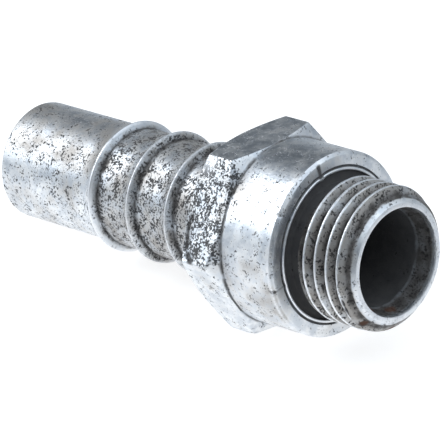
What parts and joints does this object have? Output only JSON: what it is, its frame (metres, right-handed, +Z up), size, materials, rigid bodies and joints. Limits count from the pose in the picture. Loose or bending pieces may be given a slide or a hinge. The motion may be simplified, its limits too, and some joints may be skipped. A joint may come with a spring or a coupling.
{
  "type": "threaded connection nipple",
  "caption": "Turned steel nipple: plain hose tail with saw-tooth ridges, short hexagon, round collar and male pipe thread around one through bore.",
  "frame": {"origin": "centre of the bounding box's footprint, on the floor that the nipple lies on", "axes": "+Z up; +X the way the threaded end points, seen from above; the nipple's own axis rises 6.26 degrees towards +X, because it lies on the hexagon's back edge and the tail's end"},
  "size_m": [0.0462, 0.0196, 0.018],
  "materials": {
    "zinc_steel": "worn zinc-plated steel with speckled pitting and brownish grime"
  },
  "bodies": {
    "root": {"nipple_body": "zinc_steel"}
  },
  "joints": []
}
